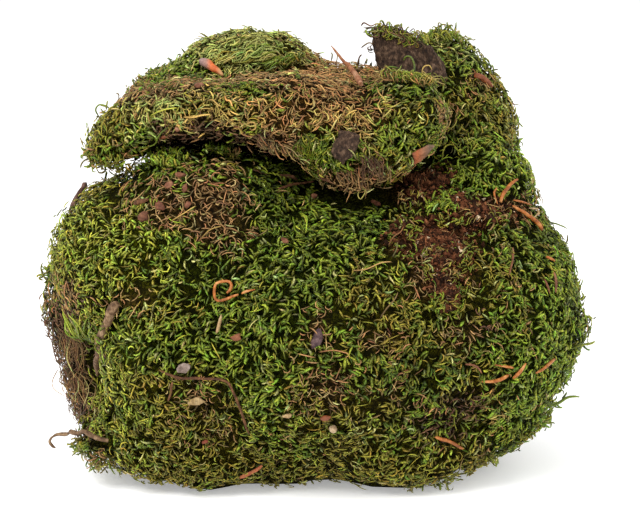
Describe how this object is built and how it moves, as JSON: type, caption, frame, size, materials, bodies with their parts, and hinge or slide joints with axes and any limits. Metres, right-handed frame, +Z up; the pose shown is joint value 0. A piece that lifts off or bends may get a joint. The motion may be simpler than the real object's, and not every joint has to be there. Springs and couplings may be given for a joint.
{
  "type": "moss clump",
  "caption": "Clump of carpet moss as lifted from a forest floor: a rounded cushion with a torn mat folded over its top, bark, soil, needles and twigs in it.",
  "frame": {"origin": "middle of the flat patch that the cushion rests on", "axes": "+Z up out of the resting patch, +X along the clump's length to the right seen from the front, -Y towards the front"},
  "size_m": [0.263, 0.2007, 0.2089],
  "materials": {
    "moss_green": "matte",
    "moss_dry": "matte",
    "bark": "matte",
    "dark_bark": "matte",
    "red_bark": "matte",
    "bud": "satin",
    "wood": "matte",
    "splinter": "matte",
    "needle": "satin",
    "brown_needle": "satin",
    "twig": "matte",
    "stem": "matte",
    "leaf": "matte",
    "grey_chip": "matte",
    "pebble": "matte",
    "cone": "matte",
    "soil": "matte"
  },
  "bodies": {
    "root": {"bark_chip": "bark", "bark_flake_red": "red_bark", "bark_slab": "bark", "bark_strip": "dark_bark", "bud_scale": "bud", "bud_scale_lobe": "bud", "chip_grey": "grey_chip", "cone_scale": "cone", "flake_brow_a": "red_bark", "flake_brow_b": "red_bark", "flake_brow_c": "red_bark", "flake_centre": "red_bark", "flake_left_a": "red_bark", "flake_left_b": "red_bark", "flake_left_stick": "twig", "flake_low_red": "red_bark", "flake_middle": "red_bark", "flake_orange": "bud", "flake_rim": "red_bark", "flake_under_flap": "red_bark", "flake_under_rim_a": "bud", "flake_under_rim_b": "bud", "leaf_curled": "leaf", "leaf_low": "leaf", "leaf_scrap": "bud", "leaf_tan": "leaf", "moss_cushion": "moss_green", "moss_flap": "moss_dry", "needle_bent": "brown_needle", "needle_bottom": "needle", "needle_brown": "brown_needle", "needle_cluster_a": "needle", "needle_cluster_b": "needle", "needle_cluster_c": "needle", "needle_curled": "needle", "needle_curled_tip": "needle", "needle_long": "needle", "needle_low_right": "needle", "needle_right_a": "brown_needle", "needle_right_b": "brown_needle", "needle_short": "needle", "needle_side": "needle", "needle_thin": "needle", "needle_upright": "needle", "pebble_pale": "pebble", "scrap_gap_a": "wood", "scrap_gap_b": "wood", "soil_low": "soil", "soil_main": "soil", "soil_right": "soil", "soil_under_flap": "soil", "stalk_scrap": "leaf", "stem_hooked": "stem", "stem_left": "stem", "stick_gap": "twig", "twig_branch": "twig", "twig_forked": "twig", "twig_low": "twig", "wood_chip": "wood", "wood_splinter": "splinter"}
  },
  "joints": []
}
